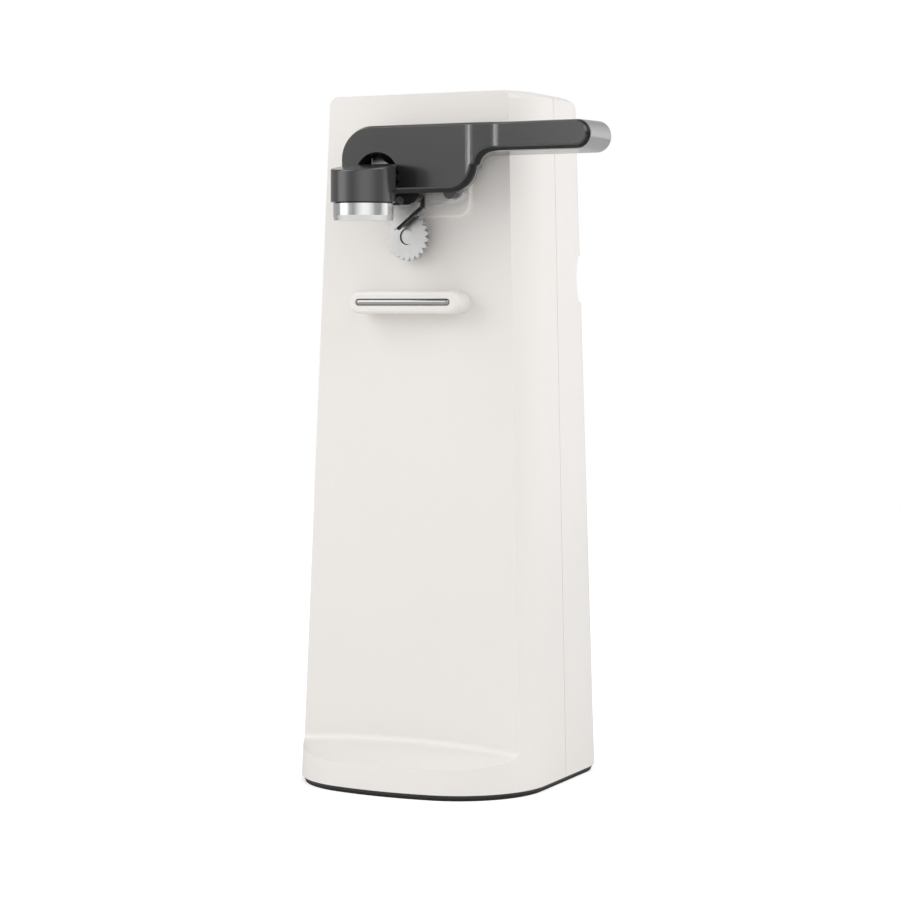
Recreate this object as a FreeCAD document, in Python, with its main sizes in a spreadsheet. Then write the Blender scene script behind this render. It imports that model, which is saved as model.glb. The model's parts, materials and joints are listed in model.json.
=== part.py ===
"""Electric can opener: a parametric assembly of separate pieces, in millimetres.

Frame: +Z up, the front of the opener faces -Y and its mirror plane is X = 0.
The origin is the middle of the footprint, on the surface that the opener stands on.
"""
import FreeCAD, Part

import math
import os
import re
from types import SimpleNamespace

from FreeCAD import Placement, Rotation, Vector

doc = FreeCAD.newDocument("can_opener")

# Driving dimensions, one spreadsheet cell each.
SIZES = {
    # Body: two tapered plastic shells over a base cover.
    "body_height": 235.0, "base_half_width": 43.4, "top_half_width": 38.0,
    "base_front_depth": 51.5, "top_front_depth": 40.3,
    "base_rear_depth": 51.5, "top_rear_depth": 43.0,
    "front_bow_radius": 104.6, "front_corner_radius": 31.6,
    "rear_corner_radius": 25.7, "rear_bow_radius": 70.0, "side_lean": 3.61,
    "wall_thick": 2.2, "shell_bottom": 2.0, "seam_depth": 2.9, "top_edge_radius": 2.6,
    "roof_curve_start": 13.0, "roof_curve_radius": 31.5,
    # Flat front face over a crowned ledge.
    "ledge_height": 15.0, "face_foot_depth": 30.16, "face_head_depth": 24.06,
    "ledge_slope": 12.7, "ledge_crown_radius": 468.0, "ledge_fillet": 3.0,
    # Pad, can rest and knife groove.
    "pad_half_width": 21.35, "pad_bottom": 193.0, "pad_top": 221.0, "pad_front": 26.6,
    "rest_half_width": 21.2, "rest_height": 164.75, "rest_thick": 7.8, "rest_front": 35.2,
    "slot_half_width": 18.1, "slot_thick": 2.35, "slot_floor": 33.6,
    "groove_bottom": 164.8, "groove_top": 181.0, "groove_floor": 29.5, "groove_radius": 13.5,
    # Drive.
    "spindle_height": 186.7, "motor_height": 155.0, "spindle_radius": 3.0,
    "tooth_addendum": 0.8, "tooth_dedendum": 1.15, "pressure_angle": 25.0, "tooth_backlash": 0.16,
    "feed_radius": 8.2, "feed_teeth": 22, "feed_front": 31.8, "feed_thick": 2.5,
    "chassis_front": 20.0, "plate_thick": 2.0, "gear_plate_front": 1.5,
    "plate_half_width": 33.0, "plate_bottom": 123.0, "plate_top": 222.0,
    "post_half_span": 28.0, "post_low": 130.0, "post_high": 215.0,
    "stator_front": 10.0, "stator_rear": 25.0, "rotor_radius": 12.6, "rotor_gap": 0.4,
    "motor_shaft_radius": 2.0, "grind_radius": 15.0, "grind_front": 33.0, "grind_rear": 39.0,
    # Lever and cutter.
    "pivot_left": 8.5, "pivot_height": 212.0, "lever_shaft_radius": 4.0,
    "lever_front": 43.0, "face_back": 42.4, "rim_front": 40.8, "lever_split": 39.5, "lever_back": 27.0,
    "rim_grow": 0.7, "face_shrink": 0.6, "face_lift": 0.45,
    "lever_bottom": 201.5, "lever_top": 222.7, "handle_bottom": 214.5, "handle_end": 71.2,
    "notch_left": 5.35, "notch_height": 206.1, "notch_radius": 8.3,
    "liner_front": 33.2, "liner_rear": 32.1,
    "blade_front": 36.0, "blade_thick": 0.9, "spacer_back": 33.7,
    "cup_left": 3.95, "cup_radius": 10.75, "cup_depth": 54.0, "cup_bottom": 197.5, "magnet_radius": 9.95,
    "magnet_bottom": 191.5, "magnet_bevel": 1.6, "magnet_lip": 0.5, "hinge_left": 4.25, "hinge_depth": 37.0,
    "hinge_height": 206.5,
    # Running clearance between a shaft and its bush, on the radius.
    "running_gap": 0.05,
}
sheet = doc.addObject("Spreadsheet::Sheet", "Sizes")
for row, (alias, amount) in enumerate(SIZES.items(), start=1):
    sheet.set("A%d" % row, alias)
    sheet.set("B%d" % row, str(amount))
    sheet.setAlias("B%d" % row, alias)
doc.recompute()
mm = SimpleNamespace(**{alias: float(sheet.get(alias)) for alias in SIZES})

nodes = []
FRONT_TO_REAR = Rotation(Vector(1, 0, 0), -90)
LEFT_TO_RIGHT = Rotation(Vector(0, 1, 0), 90)
SPINDLE = (0.0, mm.spindle_height)
MOTOR = (0.0, mm.motor_height)
PIVOT = (-mm.pivot_left, mm.pivot_height)


# ---------------------------------------------------------------- document helpers

def bound(text):
    """An expression in which every alias of the sheet is written out in full."""
    return re.sub(r"[a-z_]+", lambda word: ("Sizes." if word[0] in SIZES else "") + word[0], str(text))


def primitive(kind, label, sizes, place=(0, 0, 0), turn=Rotation()):
    """A Part primitive whose sizes and place follow the sheet."""
    obj = doc.addObject("Part::" + kind, label)
    obj.Placement = Placement(Vector(), turn)
    for name, text in sizes.items():
        obj.setExpression(name, bound(text))
    for axis, text in zip("xyz", place):
        obj.setExpression("Placement.Base." + axis, bound(text))
    return obj


def block(label, x, y, z):
    """A box from its (low, high) expressions along X, Y and Z."""
    spans = ["(%s) - (%s)" % (high, low) for low, high in (x, y, z)]
    return primitive("Box", label, dict(zip(("Length", "Width", "Height"), spans)), (x[0], y[0], z[0]))


def rod(label, radius, front, rear, x, z):
    """A round bar along Y from the depth `front` to the depth `rear`."""
    sizes = {"Radius": radius, "Height": "(%s) - (%s)" % (rear, front)}
    return primitive("Cylinder", label, sizes, (x, front, z), FRONT_TO_REAR)


def rod_x(label, radius, left, right, y, z):
    sizes = {"Radius": radius, "Height": "(%s) - (%s)" % (right, left)}
    return primitive("Cylinder", label, sizes, (left, y, z), LEFT_TO_RIGHT)


def post(label, radius, bottom, top, x, y):
    sizes = {"Radius": radius, "Height": "(%s) - (%s)" % (top, bottom)}
    return primitive("Cylinder", label, sizes, (x, y, bottom))


def join(label, *pieces):
    obj = doc.addObject("Part::MultiFuse", label)
    obj.Shapes = list(pieces)
    return obj


def cut(label, base, *tools):
    obj = doc.addObject("Part::Cut", label)
    obj.Base = base
    obj.Tool = tools[0] if len(tools) == 1 else join(label + "_cutters", *tools)
    return obj


def group(label, pieces):
    """Identical separate solids that share one node."""
    obj = doc.addObject("Part::Compound", label)
    obj.Links = pieces
    return obj


def formed(label, shape):
    """A piece whose shape is worked out in code from the sheet's sizes."""
    obj = doc.addObject("Part::Feature", label)
    obj.Shape = shape
    obj.Placement = Placement()
    return obj


def node(obj):
    nodes.append(obj)
    return obj


def sleeve(label, bore, flange, body, x, z):
    """A flanged bush along Y: flange and body are (radius, front, rear)."""
    solid = join(label + "_solid", rod(label + "_flange", *flange, x, z), rod(label + "_body", *body, x, z))
    low = min(flange[1], body[1])
    high = max(flange[2], body[2])
    return cut(label, solid, rod(label + "_bore", bore, low - 1, high + 1, x, z))


def screw_y(label, head, shank, x, z):
    """A screw along Y: head and shank are (radius, front, rear)."""
    return join(label, rod(label + "_head", *head, x, z), rod(label + "_shank", *shank, x, z))


# ---------------------------------------------------------------- curve helpers

def arc(centre, radius, start, end, at):
    """An arc between two angles in degrees; `at` turns plane coordinates into a point."""
    def spot(angle):
        return at(centre[0] + radius * math.cos(math.radians(angle)),
                  centre[1] + radius * math.sin(math.radians(angle)))
    return Part.Arc(spot(start), spot((start + end) / 2), spot(end)).toShape()


def line(start, end):
    return Part.makeLine(start, end)


def front_view(depth):
    """Turns X and Z of a front view into a point at one depth."""
    return lambda x, z: Vector(x, depth, z)


def side_view(y, z):
    return Vector(0, y, z)


def slab(edges, direction):
    """The solid that a closed run of edges sweeps along a direction."""
    return Part.Face(Part.Wire(edges)).extrude(direction)


def polygon(points):
    return Part.makePolygon(list(points) + [points[0]]).Edges


def corner_centre(half_width, lean, bow_centre, bow_radius, radius, side):
    """Centre of the corner arc that touches a leaning side line and a bow arc."""
    reach = half_width * math.cos(lean) - radius
    normal = (math.cos(lean), math.sin(lean))
    along = (-math.sin(lean), math.cos(lean))
    offset = (normal[0] * reach, normal[1] * reach - bow_centre)
    half = along[0] * offset[0] + along[1] * offset[1]
    rest = offset[0] ** 2 + offset[1] ** 2 - (bow_radius - radius) ** 2
    step = -half + side * math.sqrt(half * half - rest)
    return (normal[0] * reach + along[0] * step, normal[1] * reach + along[1] * step)


# ---------------------------------------------------------------- body shells

def outline(height, inset):
    """The body's plan outline at one height: eight tangent arcs and lines."""
    part = height / mm.body_height
    half_width = mm.base_half_width + (mm.top_half_width - mm.base_half_width) * part - inset
    front = mm.base_front_depth + (mm.top_front_depth - mm.base_front_depth) * part - inset
    rear = mm.base_rear_depth + (mm.top_rear_depth - mm.base_rear_depth) * part - inset
    lean = math.radians(mm.side_lean)
    bows = []
    for side, depth, bow, corner in ((-1, front, mm.front_bow_radius, mm.front_corner_radius),
                                     (1, rear, mm.rear_bow_radius, mm.rear_corner_radius)):
        middle = side * (depth - bow + inset)
        corner -= inset
        centre = corner_centre(half_width, lean, middle, bow - inset, corner, side)
        joint = math.degrees(math.atan2(centre[1] - middle, centre[0]))
        bows.append((middle, bow - inset, centre, corner, joint))
    (front_mid, front_bow, front_centre, front_corner, front_joint) = bows[0]
    (rear_mid, rear_bow, rear_centre, rear_corner, rear_joint) = bows[1]

    def at(x, y):
        return Vector(x, y, height)

    def mirrored(edge):
        return edge.mirror(Vector(), Vector(1, 0, 0))
    right_front = arc(front_centre, front_corner, front_joint, mm.side_lean, at)
    right_rear = arc(rear_centre, rear_corner, mm.side_lean, rear_joint, at)
    right_side = line(right_front.lastVertex().Point, right_rear.firstVertex().Point)
    edges = [arc((0, front_mid), front_bow, -180 - front_joint, front_joint, at),
             right_front, right_side, right_rear,
             arc((0, rear_mid), rear_bow, rear_joint, 180 - rear_joint, at),
             mirrored(right_rear), mirrored(right_side), mirrored(right_front)]
    return Part.Wire(Part.sortEdges(edges)[0])


def face_depth(height):
    """Y of the flat front face, which leans back."""
    part = (height - mm.ledge_height) / (mm.body_height - mm.ledge_height)
    return -mm.face_foot_depth + (mm.face_foot_depth - mm.face_head_depth) * part


def front_cutter(inset):
    """Everything in front of the flat face and above the crowned ledge."""
    low, high, reach = 4.0, mm.body_height + 10, 60.0
    points = [(face_depth(low) + inset, low), (face_depth(high) + inset, high), (-90, high), (-90, low)]
    profile = polygon([Vector(-reach, y, z) for y, z in points])
    slope = math.radians(mm.ledge_slope)
    normal = Vector(0, -math.sin(slope), math.cos(slope))
    along = Vector(0, math.cos(slope), math.sin(slope))
    corner = Vector(0, -mm.face_foot_depth, mm.ledge_height)
    start = corner - normal * (mm.ledge_crown_radius + inset) - along * 100
    crown = Part.makeCylinder(mm.ledge_crown_radius, 200, start, along)
    crown.rotate(start, along, 180)
    return slab(profile, Vector(2 * reach, 0, 0)).cut(crown)


def roof(inset):
    """The side profile: level at the front, then a long curve down to the rear."""
    level, steep = 90, 12
    centre = (mm.roof_curve_start, mm.body_height - mm.roof_curve_radius)
    radius = mm.roof_curve_radius - inset
    top = mm.body_height - inset
    drop = arc(centre, radius, level, steep, side_view)
    end = drop.lastVertex().Point
    tail = Vector(0, end.y + (end.z + 5) * math.tan(math.radians(steep)), -5)
    edges = [line(side_view(-90, -5), side_view(-90, top)),
             line(side_view(-90, top), drop.firstVertex().Point), drop,
             line(end, tail), line(tail, side_view(-90, -5))]
    profile = slab(edges, Vector(120, 0, 0))
    profile.translate(Vector(-60, 0, 0))
    return profile


def envelope(inset, bottom):
    """The body's outer form, moved inwards by `inset`."""
    top = mm.body_height - inset
    radius = max(mm.top_edge_radius - inset, 0.4)
    sections = [outline(bottom, inset)]
    for angle in (0, 30, 60, 85):
        lean = math.radians(angle)
        sections.append(outline(top - radius * (1 - math.sin(lean)), inset + radius * (1 - math.cos(lean))))
    sections.append(outline(top + 1, inset + radius))
    solid = Part.makeLoft(sections, True, True)
    return solid.common(roof(inset)).cut(front_cutter(inset))


def screw_boss(x, z, radius, front, rear):
    return Part.makeCylinder(radius, rear - front, Vector(x, front, z), Vector(0, 1, 0))


def rounded_bar(half_width, height, thick, front, rear, radius):
    """A bar with round corners in the front view, from one depth to another."""
    at = front_view(front)
    edges = []
    spots = [(half_width - radius, height + thick / 2 - radius, 0),
             (-half_width + radius, height + thick / 2 - radius, 90),
             (-half_width + radius, height - thick / 2 + radius, 180),
             (half_width - radius, height - thick / 2 + radius, 270)]
    for x, z, start in spots:
        edges.append(arc((x, z), radius, start, start + 90, at))
    for first, second in zip(list(edges), edges[1:] + edges[:1]):
        if first.lastVertex().Point.distanceToPoint(second.firstVertex().Point) > 1e-6:
            edges.append(line(first.lastVertex().Point, second.firstVertex().Point))
    edges = Part.sortEdges(edges)[0]
    return slab(edges, Vector(0, rear - front, 0))


def front_edges(shape, depth):
    """The edges that lie in the plane at one depth."""
    return [edge for edge in shape.Edges
            if abs(edge.BoundBox.YMin - depth) < 1e-4 and abs(edge.BoundBox.YMax - depth) < 1e-4]


def knife_groove(extra):
    """The knife channel across the back, grown by `extra` to make its wall.

    Its floor is level across the middle and slants forward round both rear corners.
    """
    low = mm.groove_bottom - extra
    high = mm.groove_top + extra
    radius = mm.groove_radius + extra
    centre_y = mm.groove_floor + mm.groove_radius
    middle = (low + high) / 2
    swing = math.degrees(math.asin((high - middle) / radius))
    floor = arc((centre_y, middle), radius, 180 - swing, 180 + swing, side_view)
    top, bottom = floor.firstVertex().Point, floor.lastVertex().Point
    edges = [floor, line(bottom, side_view(70, low)), line(side_view(70, low), side_view(70, high)),
             line(side_view(70, high), top)]
    level_half, corner_reach, corner_drop = 24.0, 30.0, 18.6
    level = slab(edges, Vector(level_half, 0, 0))
    slant = slab(edges, Vector(corner_reach, -corner_drop, 0))
    slant.translate(Vector(level_half, 0, 0))
    right = level.fuse(slant)
    return right.fuse(right.mirror(Vector(), Vector(1, 0, 0)))


BASE_SCREWS = [(side * 38.8, -12.0) for side in (-1, 1)] + [(side * 36.9, 20.0) for side in (-1, 1)]
SHELL_SCREWS = [(side * 29.0, 62.0) for side in (-1, 1)]
CHASSIS_SCREWS = [(side * mm.post_half_span, height)
                  for side in (-1, 1) for height in (mm.post_low, mm.post_high)]
GLAND_HEIGHT, GLAND_OUTER_SEAT, GLAND_INNER_SEAT = 17.0, 1.4, 3.2
BOSS_RADIUS, PILOT_RADIUS, SHANK_RADIUS = 4.0, 1.5, 1.45
COVER_TOP = 4.0


def base_bosses(skin, rear_half):
    """Upright bosses for the base cover's screws, trimmed to the skin."""
    bosses = [Part.makeCylinder(BOSS_RADIUS, 12, Vector(x, y, COVER_TOP))
              for x, y in BASE_SCREWS if (y > 0) == rear_half]
    return [boss.common(skin) for boss in bosses]


def base_pilots(rear_half):
    return [Part.makeCylinder(PILOT_RADIUS, 11, Vector(x, y, COVER_TOP - 1))
            for x, y in BASE_SCREWS if (y > 0) == rear_half]


OUTER = envelope(0.0, mm.shell_bottom)
CAVITY = envelope(mm.wall_thick, -1.0)
SKIN = envelope(0.4, mm.shell_bottom)
BIG = 200.0


def front_shell():
    half = Part.makeBox(2 * BIG, BIG, 2 * BIG, Vector(-BIG, mm.seam_depth - BIG, -10))
    solid = OUTER.common(half)
    crease = [edge for edge in solid.Edges
              if abs(edge.CenterOfMass.y + mm.face_foot_depth) < 1.5
              and abs(edge.CenterOfMass.z - mm.ledge_height) < 2.5 and edge.Length > 60]
    solid = solid.makeFillet(mm.ledge_fillet, crease)
    shell = solid.cut(CAVITY)
    pad_height = mm.pad_top - mm.pad_bottom
    pad = rounded_bar(mm.pad_half_width, mm.pad_bottom + pad_height / 2, pad_height,
                      -mm.pad_front, face_depth(mm.pad_top) + 0.6, 5.0)
    pad = pad.makeFillet(0.9, front_edges(pad, -mm.pad_front))
    rest = rounded_bar(mm.rest_half_width, mm.rest_height, mm.rest_thick,
                       -mm.rest_front, face_depth(mm.rest_height) + 1, mm.rest_thick / 2 - 0.01)
    rest = rest.makeFillet(1.4, front_edges(rest, -mm.rest_front))
    bosses = [screw_boss(x, z, BOSS_RADIUS, -40, -mm.chassis_front).common(SKIN) for x, z in CHASSIS_SCREWS]
    bosses += [screw_boss(x, z, BOSS_RADIUS, -40, mm.seam_depth).common(SKIN) for x, z in SHELL_SCREWS]
    shell = shell.multiFuse([pad, rest] + bosses + base_bosses(SKIN, False))
    slot = rounded_bar(mm.slot_half_width, mm.rest_height, mm.slot_thick,
                       -mm.rest_front - 1, -mm.slot_floor, mm.slot_thick / 2 - 0.01)
    holes = [slot]
    for (x, z), radius in ((SPINDLE, 4.6), (PIVOT, 5.2)):
        holes.append(screw_boss(x, z, radius, -40, -10))
    holes += [screw_boss(x, z, PILOT_RADIUS, -23.2, -mm.chassis_front + 1) for x, z in CHASSIS_SCREWS]
    holes += [screw_boss(x, z, PILOT_RADIUS, -10, mm.seam_depth + 1) for x, z in SHELL_SCREWS]
    holes += base_pilots(False)
    seam_width, seam_deep = 0.25, 0.6
    seam = Part.makeBox(2 * BIG, seam_width, 2 * BIG, Vector(-BIG, mm.seam_depth - seam_width, -10))
    holes.append(seam.cut(envelope(seam_deep, -2.0)).common(solid))
    return node(formed("front_shell", shell.cut(holes)))


def rear_shell():
    half = Part.makeBox(2 * BIG, BIG, 2 * BIG, Vector(-BIG, mm.seam_depth, -10))
    solid = OUTER.common(half)
    shell = solid.cut(CAVITY)
    channel_wall = knife_groove(mm.wall_thick).common(SKIN).common(half)
    tubes = [screw_boss(x, z, 4.6, mm.seam_depth, 60).common(SKIN) for x, z in SHELL_SCREWS]
    roof_in = mm.body_height - mm.wall_thick
    tongue = Part.makeBox(40, 8.9, 2.2, Vector(-20, -6, roof_in - 2.3))
    tongue_root = Part.makeBox(40, 6, 3.0, Vector(-20, mm.seam_depth, roof_in - 2.3))
    shell = shell.multiFuse([channel_wall, tongue, tongue_root] + tubes + base_bosses(SKIN, True))
    window = Part.makeBox(28, 8.4, 6, Vector(-14, mm.grind_front - 1.2, mm.groove_bottom - 4))
    holes = [knife_groove(0.0), window]
    for x, z in SHELL_SCREWS:
        holes.append(screw_boss(x, z, 1.7, 0, 60))
        holes.append(screw_boss(x, z, 3.4, 14, 60))
    holes.append(screw_boss(0, GLAND_HEIGHT, 8.0, mm.base_rear_depth - GLAND_OUTER_SEAT, 60))
    holes.append(screw_boss(0, GLAND_HEIGHT, 8.0, 40, mm.base_rear_depth - GLAND_INNER_SEAT))
    holes.append(screw_boss(0, GLAND_HEIGHT, 5.4, 40, 60))
    holes += base_pilots(True)
    return node(formed("rear_shell", shell.cut(holes)))


def disc(height, inset, thick):
    return Part.Face(outline(height, inset)).extrude(Vector(0, 0, thick))


def base_cover():
    """The bottom cover: a thin dark rim under the shells and a tray inside them."""
    rim = disc(1.0, 0.8, 1.0)
    tray = disc(2.0, mm.wall_thick + 0.3, COVER_TOP - 2.0)
    cover = rim.fuse(tray)
    holes = []
    for x, y in BASE_SCREWS:
        holes.append(Part.makeCylinder(1.7, 10, Vector(x, y, -1)))
        holes.append(Part.makeCylinder(3.3, 3.6, Vector(x, y, -1)))
    vent_length, vent_width, vent_pitch, vent_count = 30.0, 2.6, 6.0, 5
    for index in range(vent_count):
        depth = (index - (vent_count - 1) / 2) * vent_pitch
        holes.append(Part.makeBox(vent_length, vent_width, 10, Vector(-vent_length / 2, depth, -1)))
    return node(formed("base_cover", cover.cut(holes)))


def foot_ring():
    return node(formed("foot_ring", disc(0.0, 1.3, 1.0).cut(disc(0.0, 3.0, 1.0))))


def cord_gland():
    """A rubber bush in the rear wall for the mains cord."""
    wall_outer = mm.base_rear_depth - GLAND_OUTER_SEAT
    wall_inner = mm.base_rear_depth - GLAND_INNER_SEAT
    front_flange = rod("gland_inner_flange", 7.4, wall_inner - 2, wall_inner, 0, GLAND_HEIGHT)
    rear_flange = rod("gland_outer_flange", 7.6, wall_outer, wall_outer + 2.2, 0, GLAND_HEIGHT)
    neck = rod("gland_neck", 5.4, wall_inner, wall_outer, 0, GLAND_HEIGHT)
    solid = join("gland_solid", front_flange, rear_flange, neck)
    return node(cut("cord_gland", solid, rod("gland_bore", 3.3, wall_inner - 4, wall_outer + 4, 0, GLAND_HEIGHT)))


def rest_rod():
    """The polished rod in the can rest's slot, with round ends."""
    radius = 1.05
    depth = -mm.slot_floor - radius
    half = mm.slot_half_width - 1.3
    bar = rod_x("rest_rod_bar", radius, -half, half, depth, mm.rest_height)
    ends = [primitive("Sphere", "rest_rod_end_%d" % (index + 1), {"Radius": radius},
                      (side * half, depth, mm.rest_height)) for index, side in enumerate((-1, 1))]
    return node(join("rest_rod", bar, *ends))


# ---------------------------------------------------------------- gearbox plates

def plate(label, front, holes):
    """A flat steel plate: one sketch with its holes, padded."""
    body = doc.addObject("PartDesign::Body", label)
    sketch = body.newObject("Sketcher::SketchObject", label + "_sketch")
    plane = [feature for feature in body.Origin.OriginFeatures if feature.Role == "XZ_Plane"][0]
    sketch.AttachmentSupport = (plane, [""])
    sketch.MapMode = "FlatFace"
    corners = [(-mm.plate_half_width, mm.plate_bottom), (mm.plate_half_width, mm.plate_bottom),
               (mm.plate_half_width, mm.plate_top), (-mm.plate_half_width, mm.plate_top)]
    for start, end in zip(corners, corners[1:] + corners[:1]):
        sketch.addGeometry(Part.LineSegment(Vector(*start, 0), Vector(*end, 0)))
    for x, z, radius in holes:
        sketch.addGeometry(Part.Circle(Vector(x, z, 0), Vector(0, 0, 1), radius))
    pad = body.newObject("PartDesign::Pad", label + "_pad")
    pad.Profile = sketch
    pad.setExpression("Length", bound("plate_thick"))
    body.Placement = Placement(Vector(0, front + mm.plate_thick, 0), Rotation())
    return node(body)


def meeting_point(first, second, first_distance, second_distance, side):
    """The point at given distances from two others; `side` picks one of two."""
    dx, dz = second[0] - first[0], second[1] - first[1]
    span = math.hypot(dx, dz)
    along = (first_distance ** 2 - second_distance ** 2 + span ** 2) / (2 * span)
    across = side * math.sqrt(first_distance ** 2 - along ** 2)
    return (first[0] + (along * dx - across * dz) / span, first[1] + (along * dz + across * dx) / span)


# Gear train: motor pinion -> idler one -> idler two -> spindle gear.
FIRST_MODULE, SECOND_MODULE, THIRD_MODULE = 0.7, 0.8, 1.0
MOTOR_TEETH, ONE_TEETH = 9, 36
ONE_PINION_TEETH, TWO_TEETH = 10, 36
TWO_PINION_TEETH, SPINDLE_TEETH = 10, 38


def centre_distance(module, first, second):
    return module * (first + second) / 2


IDLER_TWO_X = 19.0
IDLER_TWO_DROP = math.sqrt(centre_distance(THIRD_MODULE, TWO_PINION_TEETH, SPINDLE_TEETH) ** 2 - IDLER_TWO_X ** 2)
IDLER_TWO = (IDLER_TWO_X, mm.spindle_height - IDLER_TWO_DROP)
IDLER_ONE = meeting_point(MOTOR, IDLER_TWO, centre_distance(FIRST_MODULE, MOTOR_TEETH, ONE_TEETH),
                          centre_distance(SECOND_MODULE, ONE_PINION_TEETH, TWO_TEETH), -1)


def bearing_angle(centre, other):
    return math.degrees(math.atan2(other[1] - centre[1], other[0] - centre[0]))


def involute(angle):
    return math.tan(angle) - angle


def gear(centre, module, teeth, tooth_angle, front, rear, bore):
    """A spur gear along Y with one tooth centred at `tooth_angle`."""
    pitch_radius = module * teeth / 2
    tip = pitch_radius + module * mm.tooth_addendum
    root = pitch_radius - module * mm.tooth_dedendum
    pressure = math.radians(mm.pressure_angle)
    base = pitch_radius * math.cos(pressure)
    half_tooth = math.pi / (2 * teeth) - mm.tooth_backlash * module / (2 * pitch_radius)
    spots = []
    for index in range(teeth):
        middle = math.radians(tooth_angle) + 2 * math.pi * index / teeth
        flank = []
        for step in range(4):
            radius = max(root, base) + (tip - max(root, base)) * step / 3
            swing = half_tooth + involute(pressure) - involute(math.acos(min(1.0, base / radius)))
            flank.append((radius, swing))
        if base > root:
            flank.insert(0, (root, flank[0][1]))
        outline_half = [(radius, middle - swing) for radius, swing in flank]
        outline_half += [(radius, middle + swing) for radius, swing in reversed(flank)]
        spots += outline_half
    points = [Vector(centre[0] + radius * math.cos(angle), front, centre[1] + radius * math.sin(angle))
              for radius, angle in spots]
    solid = slab(polygon(points), Vector(0, rear - front, 0))
    return solid.cut(screw_boss(*centre, bore, front - 1, rear + 1))


def meshed(first, second, first_teeth, second_teeth):
    """Tooth angles that put a tooth of the first gear in a gap of the second."""
    return bearing_angle(first, second), bearing_angle(second, first) + 180.0 / second_teeth


def gear_train():
    bore = mm.motor_shaft_radius
    first = meshed(MOTOR, IDLER_ONE, MOTOR_TEETH, ONE_TEETH)
    second = meshed(IDLER_ONE, IDLER_TWO, ONE_PINION_TEETH, TWO_TEETH)
    third = meshed(IDLER_TWO, SPINDLE, TWO_PINION_TEETH, SPINDLE_TEETH)
    node(formed("motor_pinion", gear(MOTOR, FIRST_MODULE, MOTOR_TEETH, first[0], -6.0, -0.6, bore)))
    pin_bore = bore + mm.running_gap
    hub = screw_boss(*IDLER_ONE, 3.2, -17.2, 0.8).cut(screw_boss(*IDLER_ONE, pin_bore, -20, 5))
    wheel = gear(IDLER_ONE, FIRST_MODULE, ONE_TEETH, first[1], -5.2, -1.6, pin_bore)
    pinion = gear(IDLER_ONE, SECOND_MODULE, ONE_PINION_TEETH, second[0], -10.0, -5.2, pin_bore)
    node(formed("idler_gear_one", hub.fuse([wheel, pinion])))
    hub = screw_boss(*IDLER_TWO, 3.2, -17.2, 0.8).cut(screw_boss(*IDLER_TWO, pin_bore, -20, 5))
    wheel = gear(IDLER_TWO, SECOND_MODULE, TWO_TEETH, second[1], -9.6, -6.2, pin_bore)
    pinion = gear(IDLER_TWO, THIRD_MODULE, TWO_PINION_TEETH, third[0], -16.2, -9.6, pin_bore)
    node(formed("idler_gear_two", hub.fuse([wheel, pinion])))
    hub = screw_boss(*SPINDLE, 6.5, -15.5, -8.5)
    wheel = gear(SPINDLE, THIRD_MODULE, SPINDLE_TEETH, third[1], -15.5, -10.5, 1.0)
    solid = hub.fuse(wheel).cut(screw_boss(*SPINDLE, mm.spindle_radius, -20, 0))
    node(formed("spindle_gear", solid))
    for label, centre in (("idler_pin_one", IDLER_ONE), ("idler_pin_two", IDLER_TWO)):
        node(rod(label, "motor_shaft_radius", "-chassis_front", "gear_plate_front + plate_thick", *centre))


def gearbox():
    rear = mm.gear_plate_front
    screw_hole = 1.6
    screws = [(x, z, screw_hole) for x, z in CHASSIS_SCREWS]
    pins = [(*IDLER_ONE, mm.motor_shaft_radius), (*IDLER_TWO, mm.motor_shaft_radius)]
    plate("chassis_plate", -mm.chassis_front, screws + pins + [(*SPINDLE, 5.0), (*PIVOT, 6.0)])
    bolts = [(side * 20.0, mm.motor_height, 1.5) for side in (-1, 1)]
    plate("gear_plate", rear, screws + pins + bolts
          + [(*SPINDLE, 5.0), (*PIVOT, 6.0), (*MOTOR, 4.5)] + [(x, z, 1.1) for x, z in SWITCH_SCREWS])
    posts, bolts = [], []
    for index, (x, z) in enumerate(CHASSIS_SCREWS, start=1):
        outer = rod("post_outer_%d" % index, 3.5, "plate_thick - chassis_front", "gear_plate_front", x, z)
        inner = rod("post_bore_%d" % index, screw_hole, "-chassis_front", "gear_plate_front + 1", x, z)
        posts.append(cut("gearbox_post_%d" % index, outer, inner))
        head_front = mm.gear_plate_front + mm.plate_thick
        bolts.append(screw_y("gearbox_screw_%d" % index, (2.8, head_front, head_front + 2.0),
                             (SHANK_RADIUS, -22.6, head_front), x, z))
    node(group("gearbox_posts", posts))
    node(group("gearbox_screws", bolts))
    running = mm.running_gap
    node(sleeve("spindle_front_bush", mm.spindle_radius + running, (7.0, -22.0, -20.0), (5.0, -20.0, -16.0), *SPINDLE))
    node(sleeve("spindle_rear_bush", mm.spindle_radius + running, (7.0, -0.5, 1.5), (5.0, 1.5, 3.5), *SPINDLE))
    shaft = mm.lever_shaft_radius + running
    node(sleeve("lever_front_bush", shaft, (7.5, -22.0, -20.0), (6.0, -20.0, -16.2), *PIVOT))
    node(sleeve("lever_rear_bush", shaft, (7.5, 3.5, 5.0), (6.0, 1.5, 3.5), *PIVOT))


# ---------------------------------------------------------------- spindle and feed wheel

def feed_wheel():
    """The toothed feed wheel: a disc with a ring of sharp notches."""
    front = -mm.feed_front
    teeth = int(mm.feed_teeth)
    root = mm.feed_radius - 1.25
    points = []
    for index in range(teeth):
        for share, radius in ((0.0, root), (0.30, mm.feed_radius), (0.62, mm.feed_radius - 0.15)):
            angle = 2 * math.pi * (index + share) / teeth
            points.append(Vector(radius * math.cos(angle), front, mm.spindle_height + radius * math.sin(angle)))
    wheel = slab(polygon(points), Vector(0, mm.feed_thick, 0))
    return node(formed("feed_wheel", wheel.cut(screw_boss(*SPINDLE, 2.75, front - 1, front + 6))))


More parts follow.
